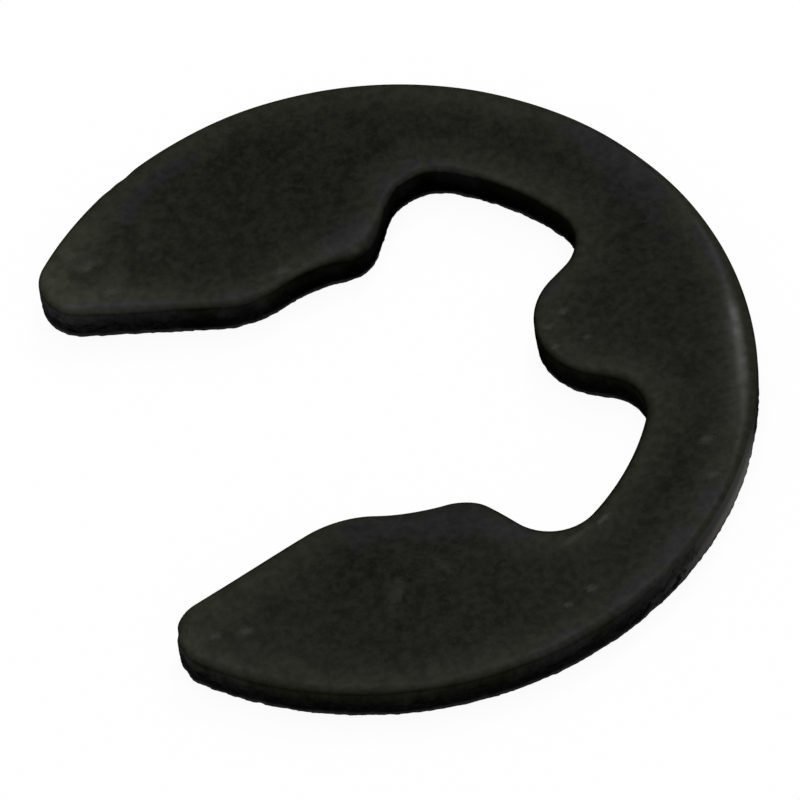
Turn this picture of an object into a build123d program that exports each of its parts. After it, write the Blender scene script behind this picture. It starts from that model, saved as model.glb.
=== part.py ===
"""E-clip: a snap-on retaining ring for a 5 mm shaft groove, stamped in one piece from spring steel strip.

Millimetres.  The clip lies flat: the shaft's axis is +Z, the sheared lower face is at Z = 0,
the mouth opens towards -X and the middle prong comes in from +X.
"""

from build123d import *
import math
import os

os.makedirs("parts", exist_ok=True)

# Driving sizes
outer_diameter = 11.0  # rim, one circle about the shaft's axis
strip_thickness = 0.6
seat_diameter = 4.68  # the arms' seat on the groove floor, free: it springs open to grip a 5 mm groove
throat_gap = 4.2  # narrowest way in between the arms, less than the seat, so that the clip snaps on
throat_radius = 1.6  # rounded lobe on each arm between the seat and the lead-in
lead_in_angle = 17.4  # each arm's straight lead-in, to the mouth's centre line
arm_tip_radius = 0.63
shoulder_angle = 75.8  # where the seat ends on each arm, round from the prong's centre line
shoulder_radius = 0.6
flank_angle = 56.5  # straight side of the relief pocket behind the shoulder, to the centre line
pocket_diameter = 7.88  # back wall of both relief pockets, concentric with the rim
pocket_front_radius = 0.78
pocket_root_radius = 0.66
prong_reach = 2.41  # from the shaft's axis to the prong's tip
prong_nose_radius = 1.08
prong_flank_angle = 32.0  # each side of the prong, to its centre line
die_roll = 0.09  # rounding that the punch leaves round the upper face
edge_break = 0.03  # tumbled edge round the lower face

# Sizes that follow
outer_radius = outer_diameter / 2
seat_radius = seat_diameter / 2
pocket_radius = pocket_diameter / 2

# The throat lobe touches the gap's edge and the seat circle, and the lead-in leaves it as a tangent.
lead_in = math.radians(lead_in_angle)
lobe_y = throat_gap / 2 + throat_radius
lobe_x = -math.sqrt((seat_radius + throat_radius) ** 2 - lobe_y**2)
lead_in_x = lobe_x - throat_radius * math.sin(lead_in)
lead_in_y = lobe_y - throat_radius * math.cos(lead_in)
mouth_root_y = lead_in_y + lead_in_x * math.tan(lead_in)
mouth_rim_y = mouth_root_y + outer_radius * math.tan(lead_in)

# Both pocket flanks, carried on inwards, meet on the centre line at the wedge's apex.
flank_slope = math.tan(math.radians(flank_angle))
shoulder_x = seat_radius * math.cos(math.radians(shoulder_angle))
shoulder_y = seat_radius * math.sin(math.radians(shoulder_angle))
wedge_apex_x = shoulder_x - shoulder_y / flank_slope
wedge_back_y = (outer_radius - wedge_apex_x) * flank_slope

# The prong's sides leave its round nose as tangents and run on into the rim.
prong_flank = math.radians(prong_flank_angle)
nose_x = prong_reach + prong_nose_radius
side_x = nose_x - prong_nose_radius * math.sin(prong_flank)
side_y = prong_nose_radius * math.cos(prong_flank)
root_y = side_y + (pocket_radius - side_x) * math.tan(prong_flank)


def from_axis(edge):
    """How far an upright edge stands from the shaft's axis."""
    return math.hypot(edge.center().X, edge.center().Y)


def corners_on(radius):
    """The clip's upright corner edges this far from the shaft's axis, those nearest the mouth first."""
    touching = 1e-4
    corners = e_clip.edges().filter_by(Axis.Z)
    return corners.filter_by(lambda edge: abs(from_axis(edge) - radius) < touching).sort_by(Axis.X)


# Both relief pockets in one shape: the wedge behind the shoulders, out to the pockets' back wall
with BuildSketch() as relief:
    Circle(pocket_radius)
    Polygon(
        (wedge_apex_x, 0),
        (outer_radius, -wedge_back_y),
        (outer_radius, wedge_back_y),
        align=None,
        mode=Mode.INTERSECT,
    )

with BuildSketch() as prong:
    with Locations((nose_x, 0)):
        Circle(prong_nose_radius)
    Polygon(
        (side_x, -side_y),
        (pocket_radius, -root_y),
        (pocket_radius, root_y),
        (side_x, side_y),
        align=None,
    )

# The clip's outline with its corners still sharp
with BuildSketch() as blank:
    Circle(outer_radius)
    Circle(seat_radius, mode=Mode.SUBTRACT)
    add(relief.sketch, mode=Mode.SUBTRACT)
    add(prong.sketch)
    Polygon(
        (0, -mouth_root_y),
        (0, mouth_root_y),
        (-outer_radius, mouth_rim_y),
        (-outer_radius, -mouth_rim_y),
        align=None,
        mode=Mode.SUBTRACT,
    )

with BuildPart() as e_clip:
    add(blank.sketch)
    extrude(amount=strip_thickness)
    fillet(corners_on(outer_radius)[:2], arm_tip_radius)
    fillet(corners_on(seat_radius)[:2], throat_radius)
    fillet(corners_on(seat_radius)[-2:], shoulder_radius)
    fillet(corners_on(pocket_radius)[:2], pocket_front_radius)
    fillet(corners_on(pocket_radius)[-2:], pocket_root_radius)
    fillet(e_clip.faces().sort_by(Axis.Z)[-1].edges(), die_roll)
    fillet(e_clip.faces().sort_by(Axis.Z)[0].edges(), edge_break)

e_clip.part.label = "e_clip"
export_step(e_clip.part, "parts/e_clip.step")
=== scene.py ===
import math

import bpy
import numpy as np
from mathutils import Matrix, Vector


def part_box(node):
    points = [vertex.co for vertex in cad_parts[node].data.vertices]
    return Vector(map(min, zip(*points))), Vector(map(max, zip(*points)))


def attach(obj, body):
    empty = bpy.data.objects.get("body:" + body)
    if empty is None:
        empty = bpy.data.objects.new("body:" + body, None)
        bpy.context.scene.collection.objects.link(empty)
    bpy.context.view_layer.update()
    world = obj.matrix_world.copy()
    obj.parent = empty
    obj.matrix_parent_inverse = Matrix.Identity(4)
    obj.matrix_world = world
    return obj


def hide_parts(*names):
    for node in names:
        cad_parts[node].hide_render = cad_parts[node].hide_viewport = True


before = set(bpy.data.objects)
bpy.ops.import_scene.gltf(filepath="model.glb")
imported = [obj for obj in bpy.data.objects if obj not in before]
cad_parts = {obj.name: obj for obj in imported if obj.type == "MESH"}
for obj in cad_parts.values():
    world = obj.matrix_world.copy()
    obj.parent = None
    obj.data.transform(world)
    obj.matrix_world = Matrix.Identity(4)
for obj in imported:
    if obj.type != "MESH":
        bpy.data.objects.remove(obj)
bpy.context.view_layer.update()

# ---------------------------------------------------------------------------
# The clip: a snap-on retaining ring for a shaft's groove, one flat piece.
# It is blanked from spring steel strip in a single blow, tumbled to take the
# sharpness off, hardened, and blackened in a hot oxide bath with a film of oil.
# ---------------------------------------------------------------------------

# Sizes in millimetres: the rim and the strip come from the frame, the rest is as the die cuts it
strip_low, strip_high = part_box("e_clip")
mm = 0.001
rim_radius = min(strip_high.x, strip_high.y) / mm
thickness = (strip_high.z - strip_low.z) / mm
seat_radius = 4.68 / 2  # the arms' seats on the groove's floor
throat_gap = 4.2  # narrowest way in between the arms
lobe_radius = 1.6  # rounded lobe on each arm at the throat
lead_in_angle = math.radians(17.4)  # each arm's straight side at the mouth, to the clip's middle line
tip_radius = 0.63
shoulder_angle = math.radians(75.8)  # where each seat ends, round from the prong
shoulder_radius = 0.6
flank_angle = math.radians(56.5)  # side of the relief pocket behind the shoulder, to the middle line
pocket_radius = 7.88 / 2  # back wall of both relief pockets
pocket_front_radius = 0.78
pocket_root_radius = 0.66
prong_reach = 2.41  # from the shaft's axis to the prong's tip
nose_radius = 1.08
prong_angle = math.radians(32.0)  # each side of the prong, to the middle line
station_spacing = 0.042  # between the stations along the outline


def heading(angle):
    """The unit vector that stands at this angle to +X."""
    return np.array([math.cos(angle), math.sin(angle)])


def angle_of(way):
    """The angle of a vector to +X."""
    return math.atan2(way[1], way[0])


def at_reach(start, way, reach):
    """Where the line from start along way comes to this distance from the shaft's axis: the further root of
    |start + t way| = reach."""
    along = start @ way
    return start + way * (math.sqrt(along**2 - start @ start + reach**2) - along)


def arc(centre, radius, begin, end, side):
    """A stretch of outline on a circle. At the share u of it the angle is begin + u (end - begin), the point
    is the centre plus the radius times that heading, and the edge faces away from the centre (side 1) or
    towards it (-1)."""

    def points(u):
        turn = begin + u * (end - begin)
        out = np.stack([np.cos(turn), np.sin(turn)], axis=1)
        return centre + radius * out, side * out

    return abs(end - begin) * radius, points


def straight(begin, end):
    """A straight stretch of outline. At the share u of it the point is begin + u (end - begin), and the edge
    faces to the left of that direction."""
    way = (end - begin) / np.linalg.norm(end - begin)

    def points(u):
        return begin + np.outer(u, end - begin), np.tile([-way[1], way[0]], (len(u), 1))

    return np.linalg.norm(end - begin), points


# Centres of the outline's arcs on the +Y half, each from the two lines or circles that it touches
axis = np.zeros(2)
nose_centre = np.array([prong_reach + nose_radius, 0.0])
nose_end = nose_centre + nose_radius * heading(math.pi / 2 + prong_angle)
root_start = nose_end + pocket_root_radius * heading(math.pi / 2 + prong_angle)
root_centre = at_reach(root_start, heading(prong_angle), pocket_radius - pocket_root_radius)
root_begin = root_centre - pocket_root_radius * heading(math.pi / 2 + prong_angle)
corner = seat_radius * heading(shoulder_angle)
flank_way = heading(flank_angle)
flank_in = heading(flank_angle + math.pi / 2)
front_start = corner - pocket_front_radius * flank_in
front_centre = at_reach(front_start, flank_way, pocket_radius - pocket_front_radius)
shoulder_centre = at_reach(corner + shoulder_radius * flank_in, flank_way, seat_radius + shoulder_radius)
lobe_y = throat_gap / 2 + lobe_radius
lobe_centre = np.array([-math.sqrt((seat_radius + lobe_radius) ** 2 - lobe_y**2), lobe_y])
lead_in_out = heading(1.5 * math.pi - lead_in_angle)
lead_in_begin = lobe_centre + lobe_radius * lead_in_out
tip_start = lead_in_begin - tip_radius * lead_in_out
tip_centre = at_reach(tip_start, heading(math.pi - lead_in_angle), rim_radius - tip_radius)
tip_rim_angle = angle_of(tip_centre)
tip_low_angle = 1.5 * math.pi - lead_in_angle
tip_apex_angle = (tip_rim_angle + tip_low_angle) / 2

# The inner outline from the prong's nose to the arm's tip
inner_stretches = [
    arc(nose_centre, nose_radius, math.pi, math.pi / 2 + prong_angle, 1),
    straight(nose_end, root_begin),
    arc(root_centre, pocket_root_radius, prong_angle - math.pi / 2, angle_of(root_centre), -1),
    arc(axis, pocket_radius, angle_of(root_centre), angle_of(front_centre), -1),
    arc(front_centre, pocket_front_radius, angle_of(front_centre), flank_angle + math.pi / 2, -1),
    straight(front_centre + pocket_front_radius * flank_in, shoulder_centre - shoulder_radius * flank_in),
    arc(shoulder_centre, shoulder_radius, flank_angle - math.pi / 2, angle_of(-shoulder_centre), 1),
    arc(axis, seat_radius, angle_of(shoulder_centre), angle_of(lobe_centre), -1),
    arc(lobe_centre, lobe_radius, angle_of(-lobe_centre), tip_low_angle - 2 * math.pi, 1),
    straight(lead_in_begin, tip_centre + tip_radius * lead_in_out),
    arc(tip_centre, tip_radius, tip_low_angle, tip_apex_angle, 1),
]
# The angles round the rim, in degrees, that the beginnings of those stretches are ruled across to
rim_begins = (0, 10, 13, 27, 58, 84, 89, 97, 112, 126)
rim_marks = [math.radians(begin) for begin in rim_begins] + [tip_rim_angle]
outer_stretches = [arc(axis, rim_radius, low, high, 1) for low, high in zip(rim_marks, rim_marks[1:])]
outer_stretches.append(arc(tip_centre, tip_radius, tip_rim_angle, tip_apex_angle, 1))


def half_outline(stretches, counts):
    """The stretches one after another, each at evenly spaced shares: the points, and the way each faces."""
    parts = [points(np.arange(count) / count) for (_, points), count in zip(stretches, counts)]
    last = stretches[-1][1](np.array([1.0]))
    return np.vstack([p for p, _ in parts] + [last[0]]), np.vstack([n for _, n in parts] + [last[1]])


def whole_outline(half):
    """Both halves: the +Y half mirrored to -Y in reverse, then itself."""
    mirrored = half[:0:-1] * [1, -1]
    return np.vstack([mirrored, half])


counts = [
    max(2, math.ceil(max(inner[0], outer[0]) / station_spacing))
    for inner, outer in zip(inner_stretches, outer_stretches)
]
outer_points, outer_facing = (whole_outline(a) for a in half_outline(outer_stretches, counts))
inner_points, inner_facing = (whole_outline(a) for a in half_outline(inner_stretches, counts))
rows = len(outer_points)


def ripple(place, wavelength, waves, seed):
    """A smooth uneven field from -1 to 1 or so: many sine waves in random directions, each
    sin(k . place + phase) with k from 0.6 to 1.6 times that of the wavelength, added and divided by 1.5 times
    the root of their number."""
    draw = np.random.default_rng(seed)
    ways = draw.normal(size=(waves, place.shape[-1]))
    ways /= np.linalg.norm(ways, axis=1, keepdims=True)
    k = ways * (2 * math.pi / wavelength) * draw.uniform(0.6, 1.6, size=(waves, 1))
    phase = draw.uniform(0, 2 * math.pi, size=waves)
    return np.sin(place @ k.T + phase).sum(axis=-1) / math.sqrt(waves) / 1.5


def settle(share):
    """0 to 1 with no slope at either end: 3 u^2 - 2 u^3."""
    share = np.clip(share, 0, 1)
    return share * share * (3 - 2 * share)


def hill(place, centre, reach):
    """1 at the centre, falling off as exp(-(distance / reach)^2)."""
    return np.exp(-(((place - centre) ** 2).sum(axis=-1)) / reach**2)


roll_width = 0.14  # of the edge that rolls over under the punch
roll_slope = 0.30  # its depth over its width
deepest_roll = 0.22
sheared_share = 0.48  # of the thickness that the roll and the burnished band take together
tear_taper = 0.010  # how far the torn band leans in
tear_depth = 0.008  # how rough it is
lower_break = 0.034  # small rounding at the foot of the edge
sag_depth = 0.008  # unevenness of the upper face
crown_depth = 0.012  # fall of the upper face at its edge
crown_reach = 0.26

# Where the punch drags more of the strip down with it: the middle, the reach, how much wider the roll is
# there and how much lower the face
shoulder_point = corner + 0.1 * heading(flank_angle + 2.2)
lobe_point = lobe_centre - [0.0, lobe_radius]
dragged = [
    (shoulder_point, 0.45, 0.14, 0.060),
    (shoulder_point * [1, -1], 0.45, 0.14, 0.060),
    (lobe_point, 0.5, 0.0, 0.015),
    (lobe_point * [1, -1], 0.5, 0.0, 0.015),
    (np.array([-3.0, 2.6]), 0.9, 0.06, 0.006),
    (np.array([-3.0, -3.9]), 1.1, 0.06, 0.006),
    (np.array([5.35, -0.95]), 1.5, 0.25, 0.016),
    (np.array([-0.6, -5.4]), 2.5, 0.03, 0.0),
]

# The zone parameter's steps across the edge: roll, burnished band, torn band and lower break
zone_steps = np.concatenate(
    [
        np.linspace(0, 1, 13)[:-1],
        np.linspace(1, 2, 5)[:-1],
        np.linspace(2, 3, 10)[:-1],
        np.linspace(3, 4, 6),
    ]
)


def lowered(place, inset):
    """How far the upper face lies under the strip's full height: a faint unevenness left by the blow, and a
    fall towards the edge as exp(-inset / reach), deeper where the punch drags more."""
    uneven = sag_depth * (0.5 + 0.5 * np.clip(ripple(place, wavelength=3.2, waves=24, seed=5), -1, 1))
    fall = crown_depth + sum(deeper * hill(place, centre, reach) for centre, reach, _, deeper in dragged)
    return uneven + fall * np.exp(-inset / crown_reach)


# Small nicks knocked into the edge: the place, the reach along the edge and the depth
nicks = [
    (rim_radius * heading(math.radians(115.5)), 0.14, 0.022),
    (rim_radius * heading(math.radians(118.5)), 0.10, 0.012),
    (tip_centre * [1, -1] + [-0.60, 0.20], 0.10, 0.030),
    (tip_centre * [1, -1] + [-0.63, -0.12], 0.09, 0.030),
    (rim_radius * heading(math.radians(-63.0)), 0.12, 0.018),
]


def edge_section(points, facing, zone):
    """The sheared edge, carried round the outline. The first parameter is the place along the outline and
    the second the zone across the edge: from 0 to 1 a quarter ellipse rolls over from the upper face, from 1
    to 2 the burnished band drops straight, from 2 to 3 the torn band leans inwards with a rough face, and
    from 3 to 4 a small ellipse breaks the lower edge. The result is each point's place and its distance in
    from the outline."""
    knocked = sum(depth * hill(points, middle, reach) for middle, reach, depth in nicks)
    there = (points - facing * knocked[:, None])[:, None, :] + 0 * zone[None, :, None]
    width = roll_width * (1 + 0.15 * ripple(points, wavelength=2.4, waves=20, seed=11))
    width = width + sum(wider * hill(points, centre, reach) for centre, reach, wider, _ in dragged)
    depth = width * roll_slope * (1 + 0.12 * ripple(points, wavelength=1.7, waves=20, seed=12))
    depth = np.minimum(depth, deepest_roll)[:, None]
    width = width[:, None]
    uneven = (1 + 0.12 * ripple(points, wavelength=1.1, waves=30, seed=13))[:, None]
    shear_end = thickness * (1 - sheared_share) * uneven
    foot = lower_break * (1 + 0.30 * ripple(points, wavelength=0.35, waves=60, seed=14))[:, None]

    roll = np.clip(zone, 0, 1)[None, :] * math.pi / 2
    shear = np.clip(zone - 1, 0, 1)[None, :]
    tear = np.clip(zone - 2, 0, 1)[None, :]
    end = np.clip(zone - 3, 0, 1)[None, :] * math.pi / 2
    height = thickness - depth * (1 - np.cos(roll))
    height = height - shear * (thickness - depth - shear_end)
    height = height - tear * (shear_end - foot)
    height = height - foot * np.sin(end)
    inset = width * (1 - np.sin(roll)) + tear_taper * tear + foot * (1 - np.cos(end))

    solid = np.concatenate([there, height[..., None] * np.ones_like(inset)[..., None]], axis=2)
    coarse = ripple(solid, wavelength=0.16, waves=90, seed=15)
    rough = coarse + 0.6 * ripple(solid, wavelength=0.07, waves=120, seed=16)
    # The roughness comes in over the first third of the tear and goes out in the lower break
    torn = settle(tear * 3) * (1 - settle((end - 0.9) / 0.6))
    inset = np.maximum(inset + tear_depth * torn * (0.5 + rough), 0)

    flat = there - facing[:, None, :] * inset[..., None]
    height = height - lowered(flat, inset) * settle((height - 0.3 * thickness) / (0.7 * thickness))
    return np.concatenate([flat, height[..., None]], axis=2), inset


outer_edge, outer_inset = edge_section(outer_points, outer_facing, zone_steps)
inner_edge, inner_inset = edge_section(inner_points, inner_facing, zone_steps)
across_edge = len(zone_steps)


def face_between(outer, inner, columns):
    """One of the strip's two faces, ruled between the outer and the inner line: at the share v the point is
    outer + v (inner - outer). The shares v = u - 0.6 sin(2 pi u) / (2 pi) are closer near both lines."""
    share = np.linspace(0, 1, columns)
    share = share - np.sin(2 * math.pi * share) / (2 * math.pi) * 0.6
    return outer[:, None, :] + share[None, :, None] * (inner - outer)[:, None, :]


def nearest(place, line, blocks=40):
    """How far each place is from the nearest point of a line, in blocks that fit in memory."""
    parts = np.array_split(place, blocks)
    squares = [((part[:, None] - line[None]) ** 2).sum(axis=2).min(axis=1) for part in parts]
    return np.sqrt(np.concatenate(squares))


upper = face_between(outer_edge[:, 0], inner_edge[:, 0], columns=42)
lower = face_between(outer_edge[:, -1], inner_edge[:, -1], columns=14)
outline = np.vstack([outer_points, inner_points[1:-1]])
upper_inset = nearest(upper[1:-1, 1:-1, :2].reshape(-1, 2), outline)
lower_inset = nearest(lower[1:-1, 1:-1, :2].reshape(-1, 2), outline)
upper_inside = upper[1:-1, 1:-1].reshape(-1, 3)
upper_inside[:, 2] = thickness - lowered(upper_inside[:, :2], upper_inset)
lower_inside = lower[1:-1, 1:-1].reshape(-1, 3)

# All points in one list: the outer edge, the inner edge without its two ends, and the insides of both faces
outer_index = np.arange(rows * across_edge).reshape(rows, across_edge)
inner_index = outer_index.copy()
inner_index[1:-1] = outer_index.size + np.arange((rows - 2) * across_edge).reshape(rows - 2, across_edge)
next_index = outer_index.size + (rows - 2) * across_edge


def face_index(shape, column, first):
    """Numbers a face's points, so that its borders are the edge sections' own points and each end is a single
    point."""
    index = np.empty(shape, int)
    index[:, 0] = outer_index[:, column]
    index[:, -1] = inner_index[:, column]
    index[0, :] = outer_index[0, column]
    index[-1, :] = outer_index[-1, column]
    inside = (shape[0] - 2) * (shape[1] - 2)
    index[1:-1, 1:-1] = first + np.arange(inside).reshape(shape[0] - 2, shape[1] - 2)
    return index, first + inside


upper_index, next_index = face_index(upper.shape[:2], 0, next_index)
lower_index, next_index = face_index(lower.shape[:2], -1, next_index)


def quads(index, flip):
    """The faces of a grid of points, four corners each, turned over where flip is true."""
    corners = [index[:-1, :-1], index[1:, :-1], index[1:, 1:], index[:-1, 1:]]
    corners = corners[::-1] if flip else corners
    return np.stack(corners, axis=-1).reshape(-1, 4)


def without_repeats(faces):
    """Splits faces into those of four corners and, where two neighbours are one point, those of three."""
    same = faces == np.roll(faces, -1, axis=1)
    full = faces[~same.any(axis=1)]
    short = faces[same.sum(axis=1) == 1]
    keep = ~(short == np.roll(short, -1, axis=1))
    return full, short[keep].reshape(-1, 3)


full, short = without_repeats(
    np.vstack(
        [
            quads(outer_index, False),
            quads(inner_index, True),
            quads(upper_index, True),
            quads(lower_index, False),
        ]
    )
)
places = np.vstack([outer_edge.reshape(-1, 3), inner_edge[1:-1].reshape(-1, 3), upper_inside, lower_inside])
zone_of_point = np.concatenate(
    [
        np.tile(zone_steps, rows),
        np.tile(zone_steps, rows - 2),
        np.zeros(len(upper_inside)),
        np.full(len(lower_inside), 4.0),
    ]
)
inset_of_point = np.concatenate([outer_inset.ravel(), inner_inset[1:-1].ravel(), upper_inset, lower_inset])

# Places where the black has rubbed thin and greyer: middle, direction in degrees, half length and half width
rubbed_places = [
    (-2.50, 4.28, 62, 0.26, 0.14),
    (0.38, 2.72, 24, 0.50, 0.27),
    (0.78, 2.62, 62, 0.40, 0.12),
    (-2.86, 2.60, 163, 0.70, 0.13),
    (-3.62, 2.88, 163, 0.40, 0.10),
    (-1.52, 2.28, 172, 0.32, 0.10),
    (1.15, 3.34, 66, 0.34, 0.14),
    (1.58, 3.55, 25, 0.40, 0.13),
    (2.12, 3.41, -30, 0.36, 0.11),
    (4.45, 2.05, 125, 0.42, 0.26),
    (4.68, 1.42, 100, 0.22, 0.12),
    (4.74, 0.99, 0, 0.10, 0.08),
    (-1.20, -2.60, 75, 0.26, 0.12),
    (-0.75, -2.48, -13, 0.72, 0.24),
    (0.20, -2.70, -12, 0.68, 0.42),
    (0.92, -3.16, -30, 0.48, 0.20),
    (2.88, 0.80, 62, 0.28, 0.13),
    (2.36, 3.16, -36, 0.15, 0.06),
    (-1.45, 2.12, 172, 0.34, 0.07),
    (-3.31, 3.71, 0, 0.11, 0.08),
    (-0.97, 3.60, 0, 0.09, 0.07),
]
# The same along the rim: middle and half length in degrees round the shaft's axis, inset and half width
rubbed_rims = [
    (112, 9, 0.42, 0.14),
    (35, 8, 0.22, 0.22),
    (26, 9, 0.32, 0.32),
    (5, 8, 0.20, 0.13),
    (-44, 4, 0.20, 0.18),
    (-54, 5, 0.15, 0.27),
    (-65, 6, 0.12, 0.25),
    (-79, 6, 0.12, 0.14),
]
rim_side = pocket_radius + 0.5  # everything further out than this is on the rim's side of the strip


def round_axis(place):
    """Each point's angle round the shaft's axis, in degrees, and its distance from it."""
    return np.degrees(np.arctan2(place[:, 1], place[:, 0])), np.hypot(place[:, 0], place[:, 1])


def rubbing(place):
    """How rubbed each point is: the largest, over the listed places, of
    exp(-(along / length)^2 - (across / width)^2)."""
    most = np.zeros(len(place))
    for x, y, turn, length, width in rubbed_places:
        away = place[:, :2] - [x, y]
        along = away @ heading(math.radians(turn))
        across = away @ heading(math.radians(turn + 90))
        most = np.maximum(most, np.exp(-((along / length) ** 2) - (across / width) ** 2))
    angle, from_axis = round_axis(place)
    for middle, length, inset, width in rubbed_rims:
        along = (angle - middle) / length
        across = (rim_radius - from_axis - inset) / width
        most = np.maximum(most, np.exp(-(along**2) - across**2))
    return most


def polishing(place):
    """1 along the stretch of rim that has been handled smooth, on +X just below the middle: a band that
    follows the rim and fades slowly towards -Y and quickly towards +Y,
    exp(-(along / length)^2 - (across / width)^2)."""
    middle, towards_plus_y, towards_minus_y = -9, 5, 18
    inset, width = 0.28, 0.15
    angle, from_axis = round_axis(place)
    along = (angle - middle) / np.where(angle > middle, towards_plus_y, towards_minus_y)
    across = (rim_radius - from_axis - inset) / width
    return np.exp(-(along**2) - across**2)


def wall_sheen_place(place):
    """1 where a painted sheen lies on the sheared edge at the rim between +X and -Y: a quick rise from the +X
    side, times exp(-((angle - middle) / length)^2)."""
    start, rise, middle, length = -24, 10, -36, 19
    angle, from_axis = round_axis(place)
    sheen_band = settle((start - angle) / rise) * np.exp(-(((angle - middle) / length) ** 2))
    return sheen_band * (from_axis > rim_side)


def crease_shading(place):
    """How strong the painted shade in the line under the rolled edge is: 1, but 0.2 along the rim round +X.
    The change is a rise in angle on one side and a fall on the other."""
    first, rise, last, fall = -75, 25, 70, 30
    angle, from_axis = round_axis(place)
    shade_lifted = settle((angle - first) / rise) * settle((last - angle) / fall)
    return 1 - 0.8 * shade_lifted * (from_axis > rim_side)


def recess_shading(place):
    """How much painted shade the clip's inside takes: 1 from the prong to the seats, about half of that on the
    prong's -Y side, and 0.8 once more by the throat's +Y lobe: a rise in x, held to points no further from the
    axis than the relief pockets, less one hill, and another hill."""
    prong_side, by_the_lobe = [3.0, -1.1], [-2.0, 2.3]
    past_pockets, past_seats = pocket_radius + 0.15, -1.2
    inside = settle((past_pockets - round_axis(place)[1]) / 0.1)
    inside = inside * (1 - 0.55 * hill(place[:, :2], prong_side, 0.9))
    inside = inside * settle((place[:, 0] - past_seats) / 0.8)
    return np.maximum(inside, 0.8 * hill(place[:, :2], by_the_lobe, 0.42))


def towards_tips(place):
    """1 at the +Y arm's tip and 0.4 at the other, falling off from each as exp(-(distance / reach)^2)."""
    reach = 1.5
    apex = tip_centre + tip_radius * heading(tip_apex_angle)
    return np.maximum(hill(place[:, :2], apex, reach), 0.4 * hill(place[:, :2], apex * [1, -1], reach))


clip_mesh = bpy.data.meshes.new("e_clip_steel")
clip_mesh.from_pydata((places * mm).tolist(), [], full.tolist() + short.tolist())
clip_mesh.polygons.foreach_set("use_smooth", np.ones(len(clip_mesh.polygons), bool))
worked_out = {
    "zone": zone_of_point,
    "inset": inset_of_point,
    "rubbed": rubbing(places),
    "polished": polishing(places),
    "sheen_on_wall": wall_sheen_place(places),
    "crease_shade_strength": crease_shading(places),
    "recess_shade": recess_shading(places),
    "tips": towards_tips(places),
}
for name, values in worked_out.items():
    attribute = clip_mesh.attributes.new(name, "FLOAT", "POINT")
    attribute.data.foreach_set("value", values.astype(np.float32))
clip_mesh.update()
clip = bpy.data.objects.new("blackened_clip", clip_mesh)
bpy.context.collection.objects.link(clip)


class Value:
    """A shader node's output. The sum, difference or product of two, or of one and a number, is a Math node."""

    def __init__(self, finish, socket):
        self.finish, self.socket = finish, socket

    def math(self, operation, first, second):
        """Adds one Math node."""
        return self.finish.node("ShaderNodeMath", {"operation": operation}, first, second)

    def __add__(self, other):
        return self.math("ADD", self, other)

    def __sub__(self, other):
        return self.math("SUBTRACT", self, other)

    def __mul__(self, other):
        return self.math("MULTIPLY", self, other)

    def __radd__(self, other):
        return self.math("ADD", other, self)

    def __rsub__(self, other):
        return self.math("SUBTRACT", other, self)

    def __rmul__(self, other):
        return self.math("MULTIPLY", other, self)

    def most(self, other):
        """The larger of the two."""
        return self.math("MAXIMUM", self, other)

    def rise(self, low, high):
        """0 below low and 1 above high, with a smooth rise between; low above high makes it a fall."""
        steps = {"interpolation_type": "SMOOTHSTEP"}
        if low < high:
            return self.finish.node("ShaderNodeMapRange", steps, Value=self, From_Min=low, From_Max=high)
        return 1 - self.finish.node("ShaderNodeMapRange", steps, Value=self, From_Min=high, From_Max=low)

    def out(self, name):
        """Another output of the same node."""
        return Value(self.finish, self.socket.node.outputs[name])


class Finish:
    """A material that is put together node by node."""

    def __init__(self, name):
        self.material = bpy.data.materials.new(name)
        self.material.use_nodes = True
        self.tree = self.material.node_tree
        self.tree.nodes.clear()

    def node(self, kind, settings=None, *values, **named):
        """Adds a node: its settings first, then its inputs, in order or by name, as numbers or outputs."""
        made = self.tree.nodes.new(kind)
        for key, value in (settings or {}).items():
            setattr(made, key, value)
        live = [s for s in made.inputs if s.enabled]
        sockets = list(zip(live, values))
        for name, value in named.items():
            sockets.append((next(s for s in live if s.name == name.replace("_", " ")), value))
        for socket, value in sockets:
            if isinstance(value, Value):
                self.tree.links.new(value.socket, socket)
            else:
                socket.default_value = value
        return Value(self, next((s for s in made.outputs if s.enabled), None))

    def mix(self, share, low, high):
        """The colour low where share is 0 and high where it is 1."""
        return self.node("ShaderNodeMix", {"data_type": "RGBA"}, share, low, high)


def shade(red, green, blue):
    """A colour given in the 0 to 255 values that a screen shows, as linear light."""
    values = [v / 255 for v in (red, green, blue)]
    return [v / 12.92 if v <= 0.04045 else ((v + 0.055) / 1.055) ** 2.4 for v in values] + [1.0]


blackening = Finish("blackened_spring_steel")
place = blackening.node("ShaderNodeTexCoord").out("Object")


def mark(name):
    """A number kept at each of the clip's points."""
    return blackening.node("ShaderNodeAttribute", {"attribute_name": name}).out("Fac")


def grain(size, detail, rough, along=place):
    """Noise whose lumps are about this many millimetres across."""
    kind, scale = "ShaderNodeTexNoise", 1 / (size * mm)
    return blackening.node(kind, None, Vector=along, Scale=scale, Detail=detail, Roughness=rough)


def scuff(x, y, turn, length, width):
    """1 inside a small ragged ellipse on the clip, 0 outside: the middle in millimetres, its direction in
    degrees, and half its length and width."""
    settings = {"vector_type": "TEXTURE"}
    middle, size = (x * mm, y * mm, 0), (length * mm, width * mm, 1)
    local = blackening.node("ShaderNodeMapping", settings, place, middle, (0, 0, math.radians(turn)), size)
    away = blackening.node("ShaderNodeVectorMath", {"operation": "LENGTH"}, local).out("Value")
    return (away + (speck - 0.5) * 2.6).rise(1.5, 0.4)


zone, inset, rubbed, polished, sheen_on_wall, crease_shade_strength, recess_shade, tips = (mark(name) for name in worked_out)

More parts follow.
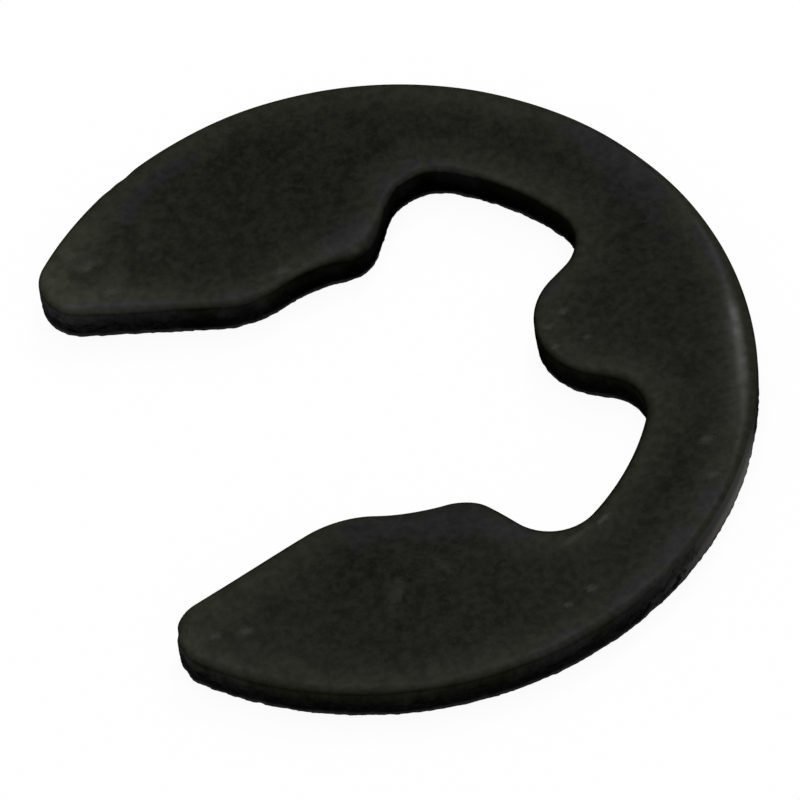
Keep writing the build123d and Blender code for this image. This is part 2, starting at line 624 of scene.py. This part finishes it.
# The unevenness of the oxide, from its broad drift to single specks, and the punch's fine upright scoring
mottle = grain(0.11, 2.0, 0.6)
cloud = grain(0.36, 2.0, 0.6)
drift = grain(1.7, 2.0, 0.5)
patchy = grain(0.24, 3.0, 0.6)
speck = grain(0.035, 2.0, 0.6)
drawn = grain(0.05, 2.0, 0.5, blackening.node("ShaderNodeMapping", None, Vector=place, Scale=(1, 1, 0.12)))

# Where the zones across the edge begin and end, where the black is thin, and the painted shade in the crease
below = zone.rise(3.3, 3.8)
on_wall = zone.rise(0.66, 0.90) * (1 - below)
crease_shade_mask = zone.rise(0.25, 0.78) * zone.rise(1.05, 0.80) * crease_shade_strength
torn = (zone + (patchy - 0.5) * 1.1).rise(1.85, 2.10)
rub = (rubbed + (patchy - 0.5) * 0.5 + (mottle - 0.5) * 0.3).rise(0.32, 0.58) * (1 - below)
# The face lighter near its edge: partly wear, partly a painted highlight
edge_sheen_and_wear = inset.rise(0.80, 0.02)

# The upper face: olive black, grey where it is rubbed, lighter at the edge and the tips, partly wear and partly
# painted highlight, with bare specks
tone = mottle.rise(0.30, 0.70) * 0.32 + cloud.rise(0.28, 0.72) * 0.15 + drift.rise(0.36, 0.64) * 0.09 + 0.105
tone = (tone + edge_sheen_and_wear * 0.50 + tips * (0.44 + cloud.rise(0.38, 0.62) * 0.5)) * 0.43
olive = blackening.mix(tone, shade(3, 4, 0), shade(60, 61, 51))
grey = blackening.mix(tone, shade(6, 6, 6), shade(56, 56, 56))
upper_colour = blackening.mix(rub * (1 - zone.rise(0.1, 0.6) * 0.5), olive, grey)
bare_specks = [
    (-3.53, 3.82, 0.10),
    (-3.40, 3.55, 0.12),
    (-3.94, 3.47, 0.10),
    (-3.20, 2.99, 0.09),
    (2.89, 0.28, 0.07),
    (2.61, 0.10, 0.07),
    (3.09, -0.28, 0.06),
    (2.60, -0.28, 0.06),
    (-3.16, -3.50, 0.09),
    (-3.59, -3.43, 0.08),
    (0.42, 2.46, 0.08),
    (-0.70, 2.46, 0.10),
    (1.72, -4.56, 0.08),
    (1.32, -4.72, 0.07),
    (4.12, -2.66, 0.11),
    (4.02, -3.28, 0.08),
]
# Knocks and short scratches: middle, direction, half length, half width and how bare the steel is
scratches = [
    (1.80, -3.62, 22, 0.24, 0.05, 0.6),
    (-0.92, -3.62, 60, 0.25, 0.09, 0.4),
    (-0.15, -3.42, -65, 0.20, 0.05, 0.3),
]
bare = scuff(2.27, -3.46, 30, 0.11, 0.04)  # the one knock that is bare all through
for x, y, size in bare_specks:
    bare = bare.most(scuff(x, y, 0, size, size * 0.7) * 0.65)
for x, y, turn, length, width, share in scratches:
    bare = bare.most(scuff(x, y, turn, length, width) * share)
upper_colour = blackening.mix(bare * 0.55 * (1 - below), upper_colour, shade(64, 65, 60))

# The sheared edge: drab or slate black, darker towards the tear, lighter at the tips, with a painted sheen on
# the rim's wall between +X and -Y
worked = drawn.rise(0.30, 0.70) * 0.15 + mottle.rise(0.35, 0.65) * 0.25 + cloud.rise(0.35, 0.65) * 0.3
worked = worked + zone.rise(2.0, 1.0) * 0.5
# Painted shade: the edge darker in the recesses and under the rubbed places, but not where its painted sheen
# lies
worked = worked * (1 - (recess_shade * 0.75).most(rubbed * (1 - sheen_on_wall) * 0.7))
drab = blackening.mix(worked, shade(1, 1, 0), shade(30, 31, 22))
slate = blackening.mix(worked, shade(5, 5, 5), shade(40, 40, 41))
slate_share = (tips * 0.9 + sheen_on_wall * 0.6 + rubbed * 1.3 + (cloud - 0.5) * 1.2).rise(0.0, 0.6)
sheared = blackening.mix(slate_share, drab, slate)
sheared = blackening.mix(tips.rise(0.70, 1.0) * mottle.rise(0.25, 0.75) * 0.9, sheared, shade(48, 48, 50))
ripped = blackening.mix(tips, shade(17, 17, 19), shade(29, 29, 32))
# Painted shade: the torn band kept dark in the recesses
ripped = blackening.mix(mottle.rise(0.20, 0.75) * (1 - recess_shade), shade(3, 3, 3), ripped)
wall_colour = blackening.mix(torn, sheared, ripped)
# Painted sheen on the rim's wall between +X and -Y, lighter towards the foot
painted_wall_sheen = sheen_on_wall * (patchy + sheen_on_wall * 0.3).rise(0.45, 0.65)
wall_sheen_colour = blackening.mix(zone.rise(1.5, 2.6), shade(56, 56, 53), shade(96, 95, 92))
wall_colour = blackening.mix(painted_wall_sheen, wall_colour, wall_sheen_colour)

# Both together, with painted shade in the crease under the roll and a painted reflection of the table at the
# foot
steel_colour = blackening.mix(on_wall, upper_colour, wall_colour)
# Painted shade: the crease under the roll darkened, less where the wall's painted sheen lies
painted_crease_shade = crease_shade_mask * (0.15 + patchy * 0.7 + recess_shade * 0.3) * (1 - sheen_on_wall * 0.85) * (1 - rub * 0.5)
steel_colour = blackening.mix(painted_crease_shade, steel_colour, shade(4, 4, 2))
# Painted reflection of the pale table: the foot of the edge lighter
foot_glint = (zone + (patchy - 0.5) * 0.25).rise(2.66, 3.02)
steel_colour = blackening.mix(foot_glint * on_wall * 0.8, steel_colour, shade(62, 62, 62))

# The film of oil that gives the gloss: thin on the face, thicker on the polished rim, almost none on the edge
face_film = (0.05 + mottle * 0.05 + rub * 0.02) * (1 - zone.rise(0.03, 0.35) * 0.75)
face_film = face_film + polished * (0.105 + patchy.rise(0.34, 0.66) * 0.12)
wall_film = on_wall * (0.012 - torn * 0.006 + painted_wall_sheen * 0.03) * (1 - recess_shade)
film = (face_film * (1 - on_wall) + wall_film) * (1 - crease_shade_mask * 0.8)
dullness = 0.50 + (mottle - 0.5) * 0.30 + torn * on_wall * 0.2
bump_height = mottle * 0.55 + speck * 0.25 + drawn * 0.3 * on_wall
bump = blackening.node("ShaderNodeBump", None, Strength=0.6, Distance=0.006 * mm, Height=bump_height)
surface = blackening.node(
    "ShaderNodeBsdfPrincipled",
    None,
    Base_Color=steel_colour,
    Roughness=dullness,
    Metallic=0.0,
    IOR=1.5,
    Specular_IOR_Level=0.0,
    Coat_Weight=film,
    Coat_Roughness=0.26,
    Coat_IOR=1.5,
    Normal=bump,
)
blackening.node("ShaderNodeOutputMaterial", None, Surface=surface)
clip_mesh.materials.append(blackening.material)

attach(clip, "root")
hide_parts("e_clip")

# ---------------------------------------------------------------------------
# The table: a plain sheet of pale board that the clip lies on, much larger
# than the clip, painted matt.
# ---------------------------------------------------------------------------

table_half = 0.6
table_top = -0.02 * mm  # just under the clip, so that the two faces don't coincide
table_glow = 0.94  # how much of its white the table shows by itself; the rest takes the clip's shadow
table_mesh = bpy.data.meshes.new("table")
table_mesh.from_pydata(
    [(x * table_half, y * table_half, table_top) for x, y in [(-1, -1), (1, -1), (1, 1), (-1, 1)]],
    [],
    [(0, 1, 2, 3)],
)
table = bpy.data.objects.new("table", table_mesh)
bpy.context.collection.objects.link(table)
paint = Finish("pale_table_paint")
seen = paint.node("ShaderNodeLightPath")
direct = seen.out("Is Camera Ray").most(seen.out("Is Glossy Ray")).most(seen.out("Is Transmission Ray"))
matt = paint.node("ShaderNodeBsdfDiffuse", None, Color=shade(248, 248, 248))
white = paint.node("ShaderNodeEmission", None, Color=[1, 1, 1, 1], Strength=1.0)
board = paint.node("ShaderNodeMixShader", None, direct * table_glow, matt, white)
paint.node("ShaderNodeOutputMaterial", None, Surface=board)
table_mesh.materials.append(paint.material)

# ---------------------------------------------------------------------------
# The light: a broad soft lamp overhead, a smaller one at the back on the
# right that runs along the rolled edge, and an even dim surround.
# ---------------------------------------------------------------------------


def soft_lamp(name, azimuth, height, distance, size, brightness):
    """A square lamp at this direction and distance from the shaft's axis, turned to face it. Its power is the
    wanted brightness of its face times pi times its area."""
    lamp = bpy.data.lights.new(name, "AREA")
    lamp.shape = "SQUARE"
    lamp.size = size
    lamp.energy = brightness * math.pi * size**2
    lamp_object = bpy.data.objects.new(name, lamp)
    level, rise = math.radians(azimuth), math.radians(height)
    way = Vector((math.cos(level) * math.cos(rise), math.sin(level) * math.cos(rise), math.sin(rise)))
    lamp_object.location = way * distance
    lamp_object.rotation_euler = way.to_track_quat("Z", "Y").to_euler()
    bpy.context.collection.objects.link(lamp_object)


soft_lamp("overhead_softbox", azimuth=77, height=77, distance=0.5, size=0.36, brightness=3.4)
soft_lamp("back_softbox", azimuth=50, height=46.5, distance=0.5, size=0.12, brightness=14.0)
surround = bpy.data.worlds.new("surround")
surround.use_nodes = True
surround_light = surround.node_tree.nodes["Background"].inputs
surround_light["Color"].default_value = (1, 1, 1, 1)
surround_light["Strength"].default_value = 0.32
bpy.context.scene.world = surround

# ---------------------------------------------------------------------------
# The camera: a long lens about 21 cm away that looks down on the clip from its
# -Y side, turned a few degrees about its own line of sight.
# ---------------------------------------------------------------------------

look_azimuth = math.radians(-102.508)
look_height = math.radians(53.64)
look_roll = math.radians(-6.833)
look_distance = 0.21319
aim_right = 0.0002506  # how far the view's middle is to the right of the shaft's axis, and above it
aim_up = 0.0001069
lens_length = 658.9
back = Vector(
    (
        math.cos(look_azimuth) * math.cos(look_height),
        math.sin(look_azimuth) * math.cos(look_height),
        math.sin(look_height),
    )
)
level = Vector((0, 0, 1)).cross(back).normalized()
upright = back.cross(level)
right = level * math.cos(look_roll) + upright * math.sin(look_roll)
up = upright * math.cos(look_roll) - level * math.sin(look_roll)
camera_data = bpy.data.cameras.new("camera")
camera_data.lens = lens_length
camera_data.sensor_width = 36
camera_data.clip_start = 0.01
camera_data.clip_end = 10
camera = bpy.data.objects.new("camera", camera_data)
bpy.context.collection.objects.link(camera)
eye = back * look_distance + right * aim_right + up * aim_up
camera.matrix_world = Matrix(
    (
        (right.x, up.x, back.x, eye.x),
        (right.y, up.y, back.y, eye.y),
        (right.z, up.z, back.z, eye.z),
        (0, 0, 0, 1),
    )
)
bpy.context.scene.camera = camera
bpy.context.scene.view_settings.view_transform = "Standard"
